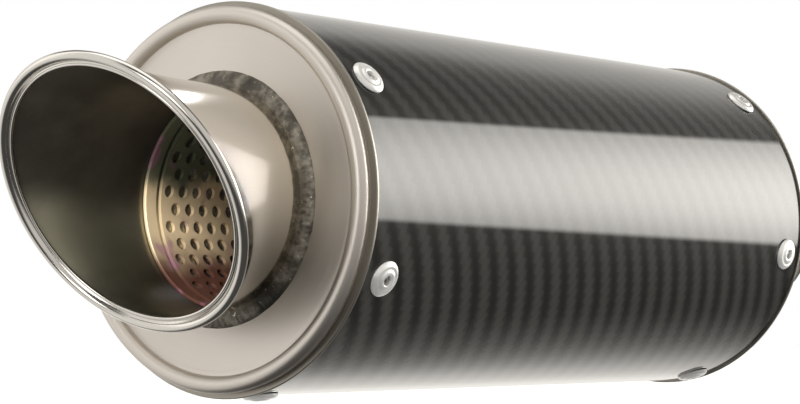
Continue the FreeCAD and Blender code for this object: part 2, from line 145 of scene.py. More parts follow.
def face_outwards(piece):
    """Turn every face outwards and shade the piece smoothly except over sharp edges."""
    cleaner = bmesh.new()
    cleaner.from_mesh(piece.data)
    bmesh.ops.remove_doubles(cleaner, verts=cleaner.verts, dist=1e-7)
    bmesh.ops.recalc_face_normals(cleaner, faces=cleaner.faces)
    for edge in cleaner.edges:
        edge.smooth = len(edge.link_faces) == 2 and edge.calc_face_angle(0) < math.radians(38)
    for face in cleaner.faces:
        face.smooth = True
    cleaner.to_mesh(piece.data)
    cleaner.free()


def lathe(name, section, segments=256, place=on_axis, shape=None):
    """Turn a closed section; shape may move a point by its section index and angle."""
    rings = []
    for index, (first, second) in enumerate(section):
        ring = []
        for segment in range(segments):
            angle = FULL_TURN * segment / segments
            one, two = (first, second) if shape is None else shape(index, first, second, angle)
            ring.append(place(one, two, angle))
        rings.append(ring)
    return skin(name, rings)


def join(name, pieces):
    """Join several pieces into one object."""
    joined = bmesh.new()
    for piece in pieces:
        piece.data.transform(piece.matrix_world)
        joined.from_mesh(piece.data)
        bpy.data.objects.remove(piece)
    mesh = bpy.data.meshes.new(name)
    joined.to_mesh(mesh)
    joined.free()
    whole = bpy.data.objects.new(name, mesh)
    bpy.context.scene.collection.objects.link(whole)
    return whole


def finish_piece(piece, material, slot, body, *nodes):
    """Give a piece its finish, put it on its body and let it stand for its CAD nodes."""
    piece.data.materials.clear()
    piece.data.materials.append(material)
    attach(piece, body)
    if nodes:
        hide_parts(*nodes)


# ---- shader tools ------------------------------------------------------------------------


class Nodes:
    """A node tree, with short ways to add to it."""

    def __init__(self, tree):
        self.tree = tree

    def add(self, kind, inputs=None, **settings):
        """Add a node, set its properties and link or set its inputs."""
        node = self.tree.nodes.new(kind)
        for key, value in settings.items():
            setattr(node, key, value)
        for key, value in (inputs or {}).items():
            self.put(node.inputs[key], value)
        return node

    def put(self, socket, value):
        """Link a socket to an output, or set its value."""
        if isinstance(value, bpy.types.NodeSocket):
            self.tree.links.new(value, socket)
        elif isinstance(value, tuple) and len(value) == 3 and socket.type == "RGBA":
            socket.default_value = value + (1.0,)
        else:
            socket.default_value = value

    def math(self, operation, *values):
        """The output of a maths node."""
        return self.add("ShaderNodeMath", dict(enumerate(values)), operation=operation).outputs[0]

    def vector(self, x, y, z):
        """A vector from three values."""
        return self.add("ShaderNodeCombineXYZ", {"X": x, "Y": y, "Z": z}).outputs[0]

    def noise(self, where, scale, detail=2.0, roughness=0.5):
        """Noise from 0 to 1."""
        inputs = {"Vector": where, "Scale": scale, "Detail": detail, "Roughness": roughness}
        return self.add("ShaderNodeTexNoise", inputs).outputs[0]

    def between(self, value, low, high, to_low=0.0, to_high=1.0):
        """Map a value from one range to another, smoothly and held at the ends."""
        inputs = {"Value": value, "From Min": low, "From Max": high, "To Min": to_low, "To Max": to_high}
        node = self.add("ShaderNodeMapRange", inputs, interpolation_type="SMOOTHSTEP")
        return node.outputs[0]

    def mix(self, share, first, second):
        """Mix two colours."""
        inputs = {0: share, 6: first, 7: second}
        return self.add("ShaderNodeMix", inputs, data_type="RGBA").outputs[2]

    def parts(self, vector):
        """The three numbers of a vector."""
        apart = self.add("ShaderNodeSeparateXYZ", {"Vector": vector})
        return [apart.outputs[axis] for axis in "XYZ"]


class Finish(Nodes):
    """A material; x, y and z are places in millimetres."""

    def __init__(self, name):
        self.material = bpy.data.materials.new(name)
        self.material.use_nodes = True
        super().__init__(self.material.node_tree)
        self.surface = self.tree.nodes["Principled BSDF"]
        self.place = self.add("ShaderNodeTexCoord").outputs["Object"]
        self.x, self.y, self.z = (self.math("MULTIPLY", part, 1 / MM) for part in self.parts(self.place))

    def set(self, **inputs):
        """Set inputs of the surface shader; underscores in names stand for spaces."""
        for key, value in inputs.items():
            self.put(self.surface.inputs[key.replace("_", " ")], value)

    def bump(self, height, distance, strength=1.0):
        """A normal bent by a height; distance is in millimetres."""
        inputs = {"Height": height, "Distance": distance * MM, "Strength": strength}
        return self.add("ShaderNodeBump", inputs).outputs[0]

    def radius(self):
        """Distance from the muffler's axis."""
        across = self.math("MULTIPLY", self.y, self.y)
        upward = self.math("MULTIPLY", self.z, self.z)
        return self.math("SQRT", self.math("ADD", across, upward))

    def angle(self):
        """Angle about the muffler's axis, in radians, with its break on the hidden side."""
        return self.math("ARCTAN2", self.z, self.math("MULTIPLY", self.y, -1.0))


def carbon_finish():
    """Clear-coated carbon fibre: 2 x 2 twill laid aslant, which closes on itself round the sleeve; the
    tows' sheen is painted into the colour as lighter ribs and weft tows.
    """
    wraps_over = 36
    wraps_round = 120
    slant = math.atan2(wraps_over, wraps_round)
    tow = FULL_TURN * SLEEVE_R / math.hypot(wraps_over, wraps_round)
    weave = Finish("carbon_twill")
    arc_length = weave.math("MULTIPLY", weave.angle(), -SLEEVE_R / tow)
    length = weave.math("DIVIDE", weave.x, tow)
    wander = weave.math("MULTIPLY", weave.noise(weave.place, 22.0), 0.45)

    def turned(one, two, sign):
        return weave.math("ADD", wander, weave.math("ADD", weave.math("MULTIPLY", one, math.cos(slant)),
                                                    weave.math("MULTIPLY", two, sign * math.sin(slant))))

    along = turned(length, arc_length, 1)
    about = turned(arc_length, length, -1)
    step = weave.math("SUBTRACT", weave.math("FLOOR", along), weave.math("FLOOR", about))
    over = weave.math("LESS_THAN", weave.math("FLOORED_MODULO", step, 4.0), 1.5)
    across_warp = weave.math("SUBTRACT", weave.math("FRACT", about), 0.5)
    across_weft = weave.math("SUBTRACT", weave.math("FRACT", along), 0.5)
    across = weave.add("ShaderNodeMix", {0: over, 2: across_weft, 3: across_warp}).outputs[0]
    crown = weave.math("SUBTRACT", 1.0, weave.math("MULTIPLY", weave.math("MULTIPLY", across, across), 4.0))
    fibres = weave.noise(weave.vector(
        weave.math("MULTIPLY", along, weave.add("ShaderNodeMix", {0: over, 2: 9.0, 3: 0.6}).outputs[0]),
        weave.math("MULTIPLY", about, weave.add("ShaderNodeMix", {0: over, 2: 0.6, 3: 9.0}).outputs[0]),
        0.0), 1.0, 3.0)
    # painted sheen: the lighter diagonal ribs and lighter weft tows stand for the sheen of the tows
    slope = weave.math("SUBTRACT", weave.math("SUBTRACT", along, about), 2.5)
    wave = weave.math("COSINE", weave.math("MULTIPLY", slope, math.pi / 2))
    rib = weave.math("MULTIPLY_ADD", wave, 0.5, 0.5)
    weft = weave.math("MULTIPLY", weave.math("SUBTRACT", 1.0, over), 0.3)
    rib = weave.math("MULTIPLY_ADD", rib, 0.7, weft)
    shade = weave.mix(rib, (0.008, 0.008, 0.007), (0.042, 0.042, 0.039))
    shade = weave.mix(weave.math("MULTIPLY", fibres, 0.35), shade, (0.010, 0.010, 0.009))
    edge = weave.between(crown, 0.0, 0.35, 0.6, 1.0)
    weave.set(
        Base_Color=weave.mix(edge, (0.010, 0.010, 0.010), shade),
        Roughness=0.55,
        Specular_IOR_Level=0.12,
        Coat_Weight=1.0,
        Coat_Roughness=0.02,
        Coat_IOR=1.5,
        Normal=weave.bump(crown, 0.05, 0.25),
        Coat_Normal=weave.bump(weave.noise(weave.place, 60.0), 0.02, 0.25),
    )
    return weave.material


def brushed_finish(name, colour, dark, rough, lines=9.0, strength=0.25):
    """Stainless sheet brushed round the muffler's axis."""
    metal = Finish(name)
    radius = metal.radius()
    inverse = metal.math("DIVIDE", 1.5, metal.math("MAXIMUM", radius, 1.0))
    about = metal.vector(
        metal.math("MULTIPLY", radius, lines),
        metal.math("MULTIPLY", metal.y, inverse),
        metal.math("MULTIPLY", metal.z, inverse))
    about = metal.add("ShaderNodeVectorMath", {
        0: about, 1: metal.vector(metal.math("MULTIPLY", metal.x, lines), 0.0, 0.0)}).outputs[0]
    streaks = metal.noise(about, 1.0, 4.0, 0.6)
    clouds = metal.noise(metal.place, 25.0, 3.0)
    tone = metal.math("ADD", metal.math("MULTIPLY", streaks, 0.55), metal.math("MULTIPLY", clouds, 0.45))
    tangent = metal.add("ShaderNodeTangent", direction_type="RADIAL", axis="X").outputs[0]
    metal.set(
        Base_Color=metal.mix(metal.between(tone, 0.3, 0.7), dark, colour),
        Metallic=1.0,
        Roughness=metal.between(streaks, 0.2, 0.8, rough - 0.06, rough + 0.06),
        Anisotropic=0.5,
        Tangent=tangent,
        Normal=metal.bump(streaks, 0.02, strength),
    )
    return metal.material


def polished_finish(name, colour, stained, rough):
    """Hand-polished steel with faint hazy patches and a straw tint beside the weld."""
    metal = Finish(name)
    haze = metal.noise(metal.place, 35.0, 4.0)
    tint = metal.between(metal.x, OUTLET_EDGE - 22.0, OUTLET_EDGE - 4.0)
    metal.set(
        Base_Color=metal.mix(metal.math("MULTIPLY", tint, 0.7), colour, stained),
        Metallic=1.0,
        Roughness=metal.between(haze, 0.3, 0.7, rough - 0.03, rough + 0.05),
        Normal=metal.bump(haze, 0.15, 0.2),
    )
    return metal.material


def sooty_finish():
    """The inside of the tip: steel dulled by a film of soot, greenish brown, with a painted highlight: a
    lighter band low on the inside.
    """
    metal = Finish("tip_sooty")
    film = metal.noise(metal.place, 45.0, 5.0, 0.6)
    thick = metal.mix(metal.between(film, 0.3, 0.7), (0.075, 0.07, 0.054), (0.135, 0.128, 0.094))
    height = metal.math("ADD", metal.z, metal.math("MULTIPLY", metal.math("SUBTRACT", film, 0.5), 12.0))
    # painted highlight: a lighter band low on the inside of the tip, not a thinner soot film
    thin = metal.math("MULTIPLY", metal.between(height, -26.0, -14.0),
                      metal.between(height, -6.0, 4.0, 0.7, 0.0))
    metal.set(
        Base_Color=metal.mix(thin, thick, (0.36, 0.34, 0.25)),
        Metallic=0.7,
        Roughness=metal.between(film, 0.3, 0.7, 0.38, 0.5),
    )
    return metal.material


def weld_finish():
    """Dark weld metal, grey-brown, with a few bright specks that are painted glints."""
    bead = Finish("weld_bead")
    patches = bead.noise(bead.place, 260.0, 5.0, 0.65)
    tint = bead.mix(bead.between(patches, 0.4, 0.65), (0.11, 0.10, 0.085), (0.32, 0.295, 0.25))
    tint = bead.mix(bead.between(bead.noise(bead.place, 90.0), 0.5, 0.7), tint, (0.05, 0.047, 0.04))
    # painted glints: bright specks in the weld's colour stand for highlights on its ripples
    painted_glints = bead.between(bead.noise(bead.place, 700.0, 3.0), 0.66, 0.74)
    tint = bead.mix(painted_glints, tint, (0.60, 0.57, 0.50))
    bead.set(
        Base_Color=tint,
        Metallic=0.85,
        Roughness=bead.between(patches, 0.2, 0.8, 0.35, 0.6),
        Normal=bead.bump(patches, 0.18, 0.6),
    )
    return bead.material


def core_finish():
    """Punched stainless tube, heat-tinted straw, gold and purple, with painted shade: it darkens to
    red-brown towards the bottom and to dark green towards the top.
    """
    metal = Finish("core_heat_tint_painted_shade")
    drift = metal.math("MULTIPLY", metal.math("SUBTRACT", metal.noise(metal.place, 60.0, 4.0), 0.5), 16.0)
    height = metal.math("ADD", metal.z, drift)
    # painted shade: the bottom of the core darkens to red-brown; the red is heat tint, the darkness stands
    # for shade
    tint = metal.mix(metal.between(height, -19.0, -5.0), (0.09, 0.035, 0.022), (0.80, 0.62, 0.38))
    # painted shade: the top of the core turns dark green where shade falls under the mouth's rim
    tint = metal.mix(metal.between(height, 3.0, 9.0), tint, (0.12, 0.13, 0.08))
    purple = metal.between(metal.noise(metal.place, 110.0, 2.0), 0.56, 0.66)
    tint = metal.mix(metal.math("MULTIPLY", purple, 0.6), tint, (0.34, 0.14, 0.22))
    metal.set(
        Base_Color=tint,
        Metallic=0.3,
        Roughness=metal.between(metal.noise(metal.place, 300.0, 3.0), 0.3, 0.7, 0.45, 0.6),
    )
    return metal.material


def plain_metal(name, colour, rough, grain=500.0, metallic=1.0):
    """Plated or satin metal with fine grain and faint patches."""
    metal = Finish(name)
    patches = metal.noise(metal.place, 80.0, 3.0)
    darker = tuple(0.8 * channel for channel in colour)
    metal.set(
        Base_Color=metal.mix(metal.between(patches, 0.35, 0.65), darker, colour),
        Metallic=metallic,
        Roughness=metal.between(patches, 0.3, 0.7, rough - 0.05, rough + 0.07),
        Normal=metal.bump(metal.noise(metal.place, grain, 2.0), 0.02, 0.3),
    )
    return metal.material


def matted_finish(name, colour, dark, scale, distance):
    """Tangled fibres: steel wool, glass blanket."""
    wool = Finish(name)
    fibres = wool.noise(wool.place, scale, 8.0, 0.75)
    wool.set(
        Base_Color=wool.mix(wool.between(fibres, 0.35, 0.65), dark, colour),
        Roughness=0.8,
        Normal=wool.bump(fibres, distance, 1.0),
    )
    return wool.material


def moulded_finish(name, colour, rough):
    """Rubber or nylon with a faint moulded grain."""
    moulded = Finish(name)
    grain = moulded.noise(moulded.place, 900.0, 3.0)
    lighter = tuple(min(0.9, 1.5 * channel + 0.01) for channel in colour)
    moulded.set(
        Base_Color=moulded.mix(moulded.between(grain, 0.4, 0.8), colour, lighter),
        Roughness=moulded.between(grain, 0.2, 0.8, rough - 0.06, rough + 0.06),
        Normal=moulded.bump(grain, 0.05, 0.4),
    )
    return moulded.material


CARBON = carbon_finish()
CAP_STEEL = brushed_finish("cap_brushed", (0.73, 0.69, 0.65), (0.67, 0.63, 0.59), 0.46, 9.0, 0.06)
TIP_STEEL = polished_finish("tip_polished", (0.66, 0.63, 0.58), (0.68, 0.60, 0.48), 0.10)
TIP_SOOT = sooty_finish()
WELD_METAL = weld_finish()
CORE_METAL = core_finish()
# painted shade: the end rings' steel is darkened so the ring's edge shows as the shadowed seam between cap
# and sleeve
EDGE_STEEL = brushed_finish("edge_steel_painted_seam_shade", (0.40, 0.38, 0.34), (0.32, 0.30, 0.27), 0.4)
RIM_STEEL = brushed_finish("rim_polished", (0.74, 0.72, 0.69), (0.68, 0.66, 0.63), 0.17, 6.0, 0.05)
PIPE_STEEL = brushed_finish("pipe_brushed", (0.62, 0.59, 0.55), (0.52, 0.49, 0.45), 0.26)
RIVET_METAL = plain_metal("rivet_bright", (0.95, 0.95, 0.94), 0.4, metallic=0.7)
PIN_METAL = plain_metal("pin_steel", (0.45, 0.44, 0.43), 0.35)
ZINC = plain_metal("zinc_plate", (0.70, 0.70, 0.66), 0.28)
STRIP_STEEL = plain_metal("strip_steel", (0.66, 0.64, 0.61), 0.24)
STEEL_WOOL = matted_finish("steel_wool", (0.34, 0.32, 0.29), (0.05, 0.045, 0.04), 700.0, 0.6)
GLASS_WOOL = matted_finish("glass_wool", (0.86, 0.84, 0.74), (0.62, 0.60, 0.50), 350.0, 0.8)
RUBBER = moulded_finish("rubber", (0.02, 0.02, 0.02), 0.6)
NYLON = moulded_finish("nylon", (0.05, 0.14, 0.45), 0.4)

# ---- pieces ------------------------------------------------------------------------------


def mouth_frame(share):
    """Centre, outward axis and upward direction of a section of the flare, 0 to 1 at the mouth."""
    tilt = math.radians(MOUTH_TILT * share)
    centre = Vector((FLARE_START + share * (MOUTH_X - FLARE_START), 0, 0))
    outwards = Vector((-math.cos(tilt), 0, -math.sin(tilt)))
    upwards = Vector((-math.sin(tilt), 0, math.cos(tilt)))
    return centre, outwards, upwards


def on_mouth(out, radius, angle):
    """A point of the mouth: distance out of its plane, radius and angle."""
    centre, outwards, upwards = mouth_frame(1.0)
    return centre + outwards * out + (Vector((0, math.cos(angle), 0)) + upwards * math.sin(angle)) * radius


def carbon_sleeve():
    """The sleeve, its cut edges slightly rounded."""
    inner = SLEEVE_R - SLEEVE_WALL
    soft = 0.25
    section = [(OUTLET_EDGE, inner), (OUTLET_EDGE, SLEEVE_R - soft), (OUTLET_EDGE + soft, SLEEVE_R)]
    for step in range(1, 40):
        section.append((OUTLET_EDGE + (INLET_EDGE - OUTLET_EDGE) * step / 40, SLEEVE_R))
    section += [(INLET_EDGE - soft, SLEEVE_R), (INLET_EDGE, SLEEVE_R - soft), (INLET_EDGE, inner)]
    finish_piece(lathe("sleeve", section, 360), CARBON, "carbon", "muffler", "carbon_sleeve")


def end_ring(name, edge_x, outwards, node):
    """The L-section ring over one edge of the sleeve."""
    face_x = edge_x + outwards * RING_FLANGE
    deep_x = edge_x - outwards * SKIRT_LENGTH
    inner = SKIRT_R - 1.05
    soft = 0.2
    section = [
        (face_x, inner), (face_x, RING_R - soft), (face_x - outwards * soft, RING_R),
        (edge_x + outwards * soft, RING_R), (edge_x, RING_R - soft), (edge_x, SKIRT_R),
        (deep_x, SKIRT_R), (deep_x, inner)]
    finish_piece(lathe(name, section, 360), EDGE_STEEL, "stainless", "muffler", node)


def outlet_cap():
    """The pressed outlet cap with its groove and rolled bead."""
    bead_r = CAP_WALL_R - CAP_BEAD
    groove_start = bead_r - CAP_BEAD - CAP_GROOVE
    hole_r = TUBE_R + 0.05
    wall_x = OUTLET_EDGE - RING_FLANGE
    section = [(CAP_FACE, hole_r + (groove_start - hole_r) * step / 12) for step in range(12)]
    for step in range(9):
        depth = CAP_GROOVE_DEPTH * math.sin(math.pi * step / 8) ** 2
        section.append((CAP_FACE + depth, groove_start + CAP_GROOVE * step / 8))
    section += arc((CAP_FACE, bead_r), CAP_BEAD, 270, 50, 22)[1:]
    section += [(wall_x, section[-1][1]), (wall_x, CAP_WALL_R - CAP_SHEET)]
    section += arc((CAP_FACE, bead_r), CAP_BEAD - CAP_SHEET, 90, 270, 12)
    section += [(CAP_FACE + CAP_SHEET, bead_r - CAP_BEAD + CAP_SHEET), (CAP_FACE + CAP_SHEET, hole_r)]
    finish_piece(lathe("cap_outlet", section, 360), CAP_STEEL, "stainless", "muffler", "outlet_cap")


def outlet_tip():
    """The outlet tube, which flares into the slanted mouth."""
    inner_end = high_mm("outlet_tip").x
    rows = []
    segments = 256
    for step in range(13):
        x = inner_end + (FLARE_START - inner_end) * step / 12
        rows.append((Vector((x, 0, 0)), Vector((0, 0, 1)), TUBE_R))
    for step in range(1, 31):
        share = step / 30
        centre, _, upwards = mouth_frame(share)
        rows.append((centre, upwards, TUBE_R + (MOUTH_R - TUBE_R) * share ** FLARE_POWER))
    rings = []
    for wall, order in ((0, rows), (TUBE_WALL, rows[::-1])):
        for centre, upwards, radius in order:
            ring = []
            for segment in range(segments):
                angle = FULL_TURN * segment / segments
                spoke = Vector((0, math.cos(angle), 0)) + upwards * math.sin(angle)
                ring.append(centre + spoke * (radius - wall))
            rings.append(ring)
    tube = skin("tip_tube", rings)
    finish_piece(tube, TIP_STEEL, "stainless_tip", "muffler", "outlet_tip")
    tube.data.materials.append(TIP_SOOT)
    for face in tube.data.polygons:
        outward = Vector((0, face.center.y, face.center.z)).normalized()
        face.material_index = 1 if face.normal.dot(outward) < -0.3 else 0


def tip_rim():
    """The rolled edge of the mouth: a thick bead, a groove and a thin inner lip."""
    bead = 1.25
    bead_out = 0.3
    lip = 0.45
    bead_r = MOUTH_R + RIM_R - bead
    lip_r = MOUTH_R - RIM_R + 0.05
    section = arc((bead_out, bead_r), bead, -80, 215, 26)
    section += [(-0.55, lip_r + 0.6)] + arc((0.1, lip_r), lip, 185, 430, 14) + [(0.15, lip_r + 0.75)]
    rim = lathe("tip_rolled_rim", section, 256, on_mouth)
    finish_piece(rim, RIM_STEEL, "stainless_tip", "muffler", "tip_rim")


def ring_weld(name, corner_x, corner_r, outwards, node, face_leg, pipe_leg, seed):
    """A hand-laid fillet bead: overlapping ripples of uneven size round the pipe."""
    ripples = 46
    buried = 0.3
    crown = 0.6

    def rippled(index, x, radius, angle):
        if not 0 < index < 11:
            return x, radius
        lean = 0.06 * math.sin(math.pi * index / 11)
        phase = ripples * (angle + lean) / FULL_TURN
        size = 0.15 * (1 - (phase % 1.0)) ** 0.6
        spot = Vector((math.cos(angle) * 9, math.sin(angle) * 9, seed))
        pits = noise.noise(spot * 4.0 + Vector((0, 0, index * 0.6)))
        rough = 0.22 * noise.noise(spot * 1.3) + 0.14 * pits
        lift = (size + rough - 0.07) * math.sin(math.pi * index / 11)
        return x + outwards * lift * 0.7, radius + lift * 0.7

    section = [(corner_x - outwards * buried, corner_r + face_leg)]
    for step in range(11):
        turn = math.pi / 2 * step / 10
        out = crown * math.sin(turn) + (1 - crown) * step / 10
        up = crown * math.cos(turn) + (1 - crown) * (1 - step / 10)
        section.append((corner_x + outwards * pipe_leg * out, corner_r + face_leg * up))
    section.append((corner_x + outwards * pipe_leg, corner_r - buried))
    section.append((corner_x - outwards * buried, corner_r - buried))
    piece = lathe(name, section, 920, shape=rippled)
    finish_piece(piece, WELD_METAL, "weld", "muffler", node)


def rivet_part(name, section, x, angle, segments=48):
    """A turned part standing on the sleeve: section points are (radius, height from the axis)."""
    across = Vector((0, -math.sin(angle), math.cos(angle)))
    upright = Vector((0, math.cos(angle), math.sin(angle)))

    def place(radius, height, turn):
        return Vector((x, 0, 0)) + upright * height + (
            Vector((1, 0, 0)) * math.cos(turn) + across * math.sin(turn)) * radius

    return lathe(name, section, segments, place)


def rivet_rows():
    """Both rows of blind rivets with their broken pins."""
    seat = SLEEVE_R + 0.02
    top = seat + 1.5
    tail = SKIRT_R - 1.25
    body = [(1.3, top - 0.6), (1.4, top - 0.12), (1.65, top), (2.1, top), (2.45, top - 0.12),
            (2.75, top - 0.35), (3.1, top - 0.4), (3.45, top - 0.34), (3.8, top - 0.4),
            (4.2, top - 0.62), (4.55, top - 0.95)]
    body += [(4.75, seat + 0.25), (4.7, seat), (2.4, seat), (2.4, tail), (3.2, tail - 0.3),
             (3.3, tail - 0.8), (2.6, tail - 1.5), (1.3, tail - 1.5)]
    pin = [(0.0, top - 0.62), (0.7, top - 0.6), (0.95, top - 0.75), (1.25, top - 0.9), (1.25, tail - 1.55),
           (2.0, tail - 1.7), (2.1, tail - 2.2), (1.5, tail - 3.0), (0.0, tail - 3.1)]
    for end in ("outlet", "inlet"):
        x = (low_mm(end + "_rivets").x + high_mm(end + "_rivets").x) / 2
        phase = math.radians(RIVET_PHASE[end])
        bodies = []
        pins = []
        for count in range(RIVET_COUNT):
            angle = phase + FULL_TURN * count / RIVET_COUNT
            bodies.append(rivet_part("body", body, x, angle))
            pins.append(rivet_part("pin", pin, x, angle, 24))
        heads = join(end + "_rivet_bodies", bodies)
        stems = join(end + "_rivet_stems", pins)
        finish_piece(heads, RIVET_METAL, "rivet", "muffler", end + "_rivets")
        finish_piece(stems, PIN_METAL, "rivet_pin", "muffler", end + "_rivet_pins")


def perforated_core():
    """The core tube with every punched hole, in staggered rows.

    Each hole sits in a tile of the wall with as many points on its edge as the hole has.
    """
    low = low_mm("perforated_core").x
    high = high_mm("perforated_core").x
    rows = 36
    pitch = 5.3
    hole_r = 1.7
    margin = 0.25
    phase = math.radians(2.15)
    inner = CORE_R - 1.0
    columns = int((high - low - 2 * margin) / pitch - 0.5)
    rim_points = 16
    made = bmesh.new()
    step_angle = FULL_TURN / rows
    start = low + margin

    def corner(x, about, radius):
        return made.verts.new(on_axis(x, radius, about) * MM)

    for row in range(rows):
        turned = phase + row * step_angle
        middle = turned + 0.5 * step_angle
        shift = 0.5 * pitch * (row % 2)
        for column in range(columns):
            centre = start + shift + (column + 0.5) * pitch
            loops = []
            for radius in (inner, CORE_R):
                frame_loop = []
                hole_loop = []
                for spoke in range(rim_points):
                    angle = FULL_TURN * spoke / rim_points + math.pi / 4
                    across, upward = math.cos(angle), math.sin(angle)
                    reach = max(abs(across), abs(upward))
                    side, rise = across / reach, upward / reach
                    quarter = spoke % 4
                    if abs(side) > abs(rise) - 1e-9 and quarter:
                        rise = round(rise * 2) / 2 if quarter == 2 else math.copysign(0.5, rise)
                    elif quarter:
                        side = round(side * 2) / 2 if quarter == 2 else math.copysign(0.5, side)
                    frame_loop.append(
                        corner(centre + side * pitch / 2, middle + rise * step_angle / 2, radius))
                    hole_loop.append(
                        corner(centre + hole_r * across, middle + hole_r * upward / radius, radius))
                loops.append((frame_loop, hole_loop))
            for spoke in range(rim_points):
                after = (spoke + 1) % rim_points
                for frame_loop, hole_loop in loops:
                    made.faces.new((frame_loop[spoke], frame_loop[after],
                                    hole_loop[after], hole_loop[spoke]))
                inside, outside = loops[0][1], loops[1][1]
                made.faces.new((inside[spoke], inside[after], outside[after], outside[spoke]))
        starts = [turned + step_angle * side / 4 for side in range(4)]
        quarters = [(one, one + step_angle / 4) for one in starts]
        for near, far in ((low, start + shift), (start + shift + columns * pitch, high)):
            for radius in (inner, CORE_R):
                for one, two in quarters:
                    made.faces.new((corner(near, one, radius), corner(far, one, radius),
                                    corner(far, two, radius), corner(near, two, radius)))
        for x in (low, high):
            for one, two in quarters:
                made.faces.new((corner(x, one, inner), corner(x, two, inner),
                                corner(x, two, CORE_R), corner(x, one, CORE_R)))
    mesh = bpy.data.meshes.new("core_punched")
    made.to_mesh(mesh)
    made.free()
    piece = bpy.data.objects.new("core_punched", mesh)
    bpy.context.scene.collection.objects.link(piece)
    face_outwards(piece)
    finish_piece(piece, CORE_METAL, "core", "muffler", "perforated_core")


def core_collar():
    """The plain ring in the outlet tube, just outside the core."""
    low, high = low_mm("core_collar").x, high_mm("core_collar").x
    inner = CORE_R - 1.0
    soft = 0.25
    section = [(low, inner + soft), (low + soft, inner), (high - soft, inner), (high, inner + soft),
               (high, CORE_R - soft), (high - soft, CORE_R), (low + soft, CORE_R), (low, CORE_R - soft)]
    finish_piece(lathe("collar", section, 192), CORE_METAL, "core", "muffler", "core_collar")


def matted_layer(name, node, inner, material, slot, lumps):
    """A layer of fibres between two radii, its surface lumpy."""
    low, high = low_mm(node).x, high_mm(node).x
    outer = high_mm(node).y
    section = [(low + (high - low) * step / 90, outer) for step in range(91)]
    section += [(high, inner), (low, inner)]

    def lumpy(index, x, radius, angle):
        if index > 90:
            return x, radius
        spot = Vector((x * 0.12, radius * 0.12 * math.cos(angle), radius * 0.12 * math.sin(angle)))
        return x, radius - lumps * (0.5 + 0.5 * noise.noise(spot) + 0.3 * noise.noise(spot * 4))

    finish_piece(lathe(name, section, 144, shape=lumpy), material, slot, "muffler", node)


def inlet_cap():
    """The spun inlet cap: short wall, rounded shoulder, cone and neck."""
    wall_x = INLET_EDGE + RING_FLANGE
    end_x = CONE_START + CONE_LENGTH
    slope = math.atan2(CONE_TOP_R - NECK_R, CONE_LENGTH)
    across = CAP_SHEET * math.sin(slope)
    down = CAP_SHEET * math.cos(slope)
    section = [(wall_x, CAP_WALL_R), (CONE_START - SHOULDER, CAP_WALL_R)]
    for step in range(1, 8):
        turn = step / 8
        section.append((CONE_START - SHOULDER + SHOULDER * turn, CAP_WALL_R - SHOULDER_DROP * turn * turn))
    section += [(CONE_START + CONE_LENGTH * step / 16, cone_radius(step / 16)) for step in range(16)]
    section += [(end_x, NECK_R + 0.12), (end_x + 0.7, NECK_R), (NECK_END, NECK_R),
                (NECK_END, NECK_R - CAP_SHEET), (end_x - across, NECK_R - CAP_SHEET),
                (CONE_START - across, CONE_TOP_R - down),
                (CONE_START - 3.0, CAP_WALL_R - CAP_SHEET), (wall_x, CAP_WALL_R - CAP_SHEET)]
    finish_piece(lathe("cap_inlet", section, 256), CAP_STEEL, "stainless", "muffler", "inlet_cap")


def cone_radius(share):
    """Outside radius of the inlet cap's cone, part of the way from its start to its end."""
    return CONE_TOP_R + (NECK_R - CONE_TOP_R) * share


def hanger_beads():
    """The two straight rippled beads between the tab and the cone."""
    start = Vector((CONE_START + 3, cone_radius(3 / CONE_LENGTH), 0))
    along = Vector((CONE_START + CONE_LENGTH - 3, cone_radius(1 - 3 / CONE_LENGTH), 0)) - start
    outward = Vector((-along.y, along.x, 0)).normalized()
    leg = 2.6
    root = 2.0
    beads = []
    for side in (-1, 1):
        upward = Vector((0, 0, side))
        rings = []
        for step in range(121):
            share = step / 120
            taper = min(1.0, 0.35 + 6 * share, 0.35 + 6 * (1 - share))
            size = leg * taper * (1 - 0.10 * ((share * 11) % 1.0))
            centre = start + along * share + upward * root
            ring = [centre - outward * 0.3 - upward * 0.2, centre + outward * size - upward * 0.2]
            for turn in range(9):
                angle = math.pi / 2 * turn / 8
                ring.append(centre + outward * size * math.cos(angle) + upward * size * math.sin(angle))
            ring.append(centre + upward * size - outward * 0.3)
            rings.append(ring)
        bead = skin("bead", rings, closed_path=False)
        close_ends(bead)
        face_outwards(bead)
        beads.append(bead)
    finish_piece(join("weld_hanger", beads), WELD_METAL, "weld", "muffler", "hanger_weld")


def on_bolt(radius, height, angle):
    """A point about the clamp bolt's upright axis."""
    return Vector((BOLT.x + radius * math.cos(angle), BOLT.y + radius * math.sin(angle), height))


def hexed(radius, angle):
    """Cut a radius down to a hexagon 10 mm across its flats."""
    return min(radius, 5.0 / math.cos(angle % (math.pi / 3) - math.pi / 6))


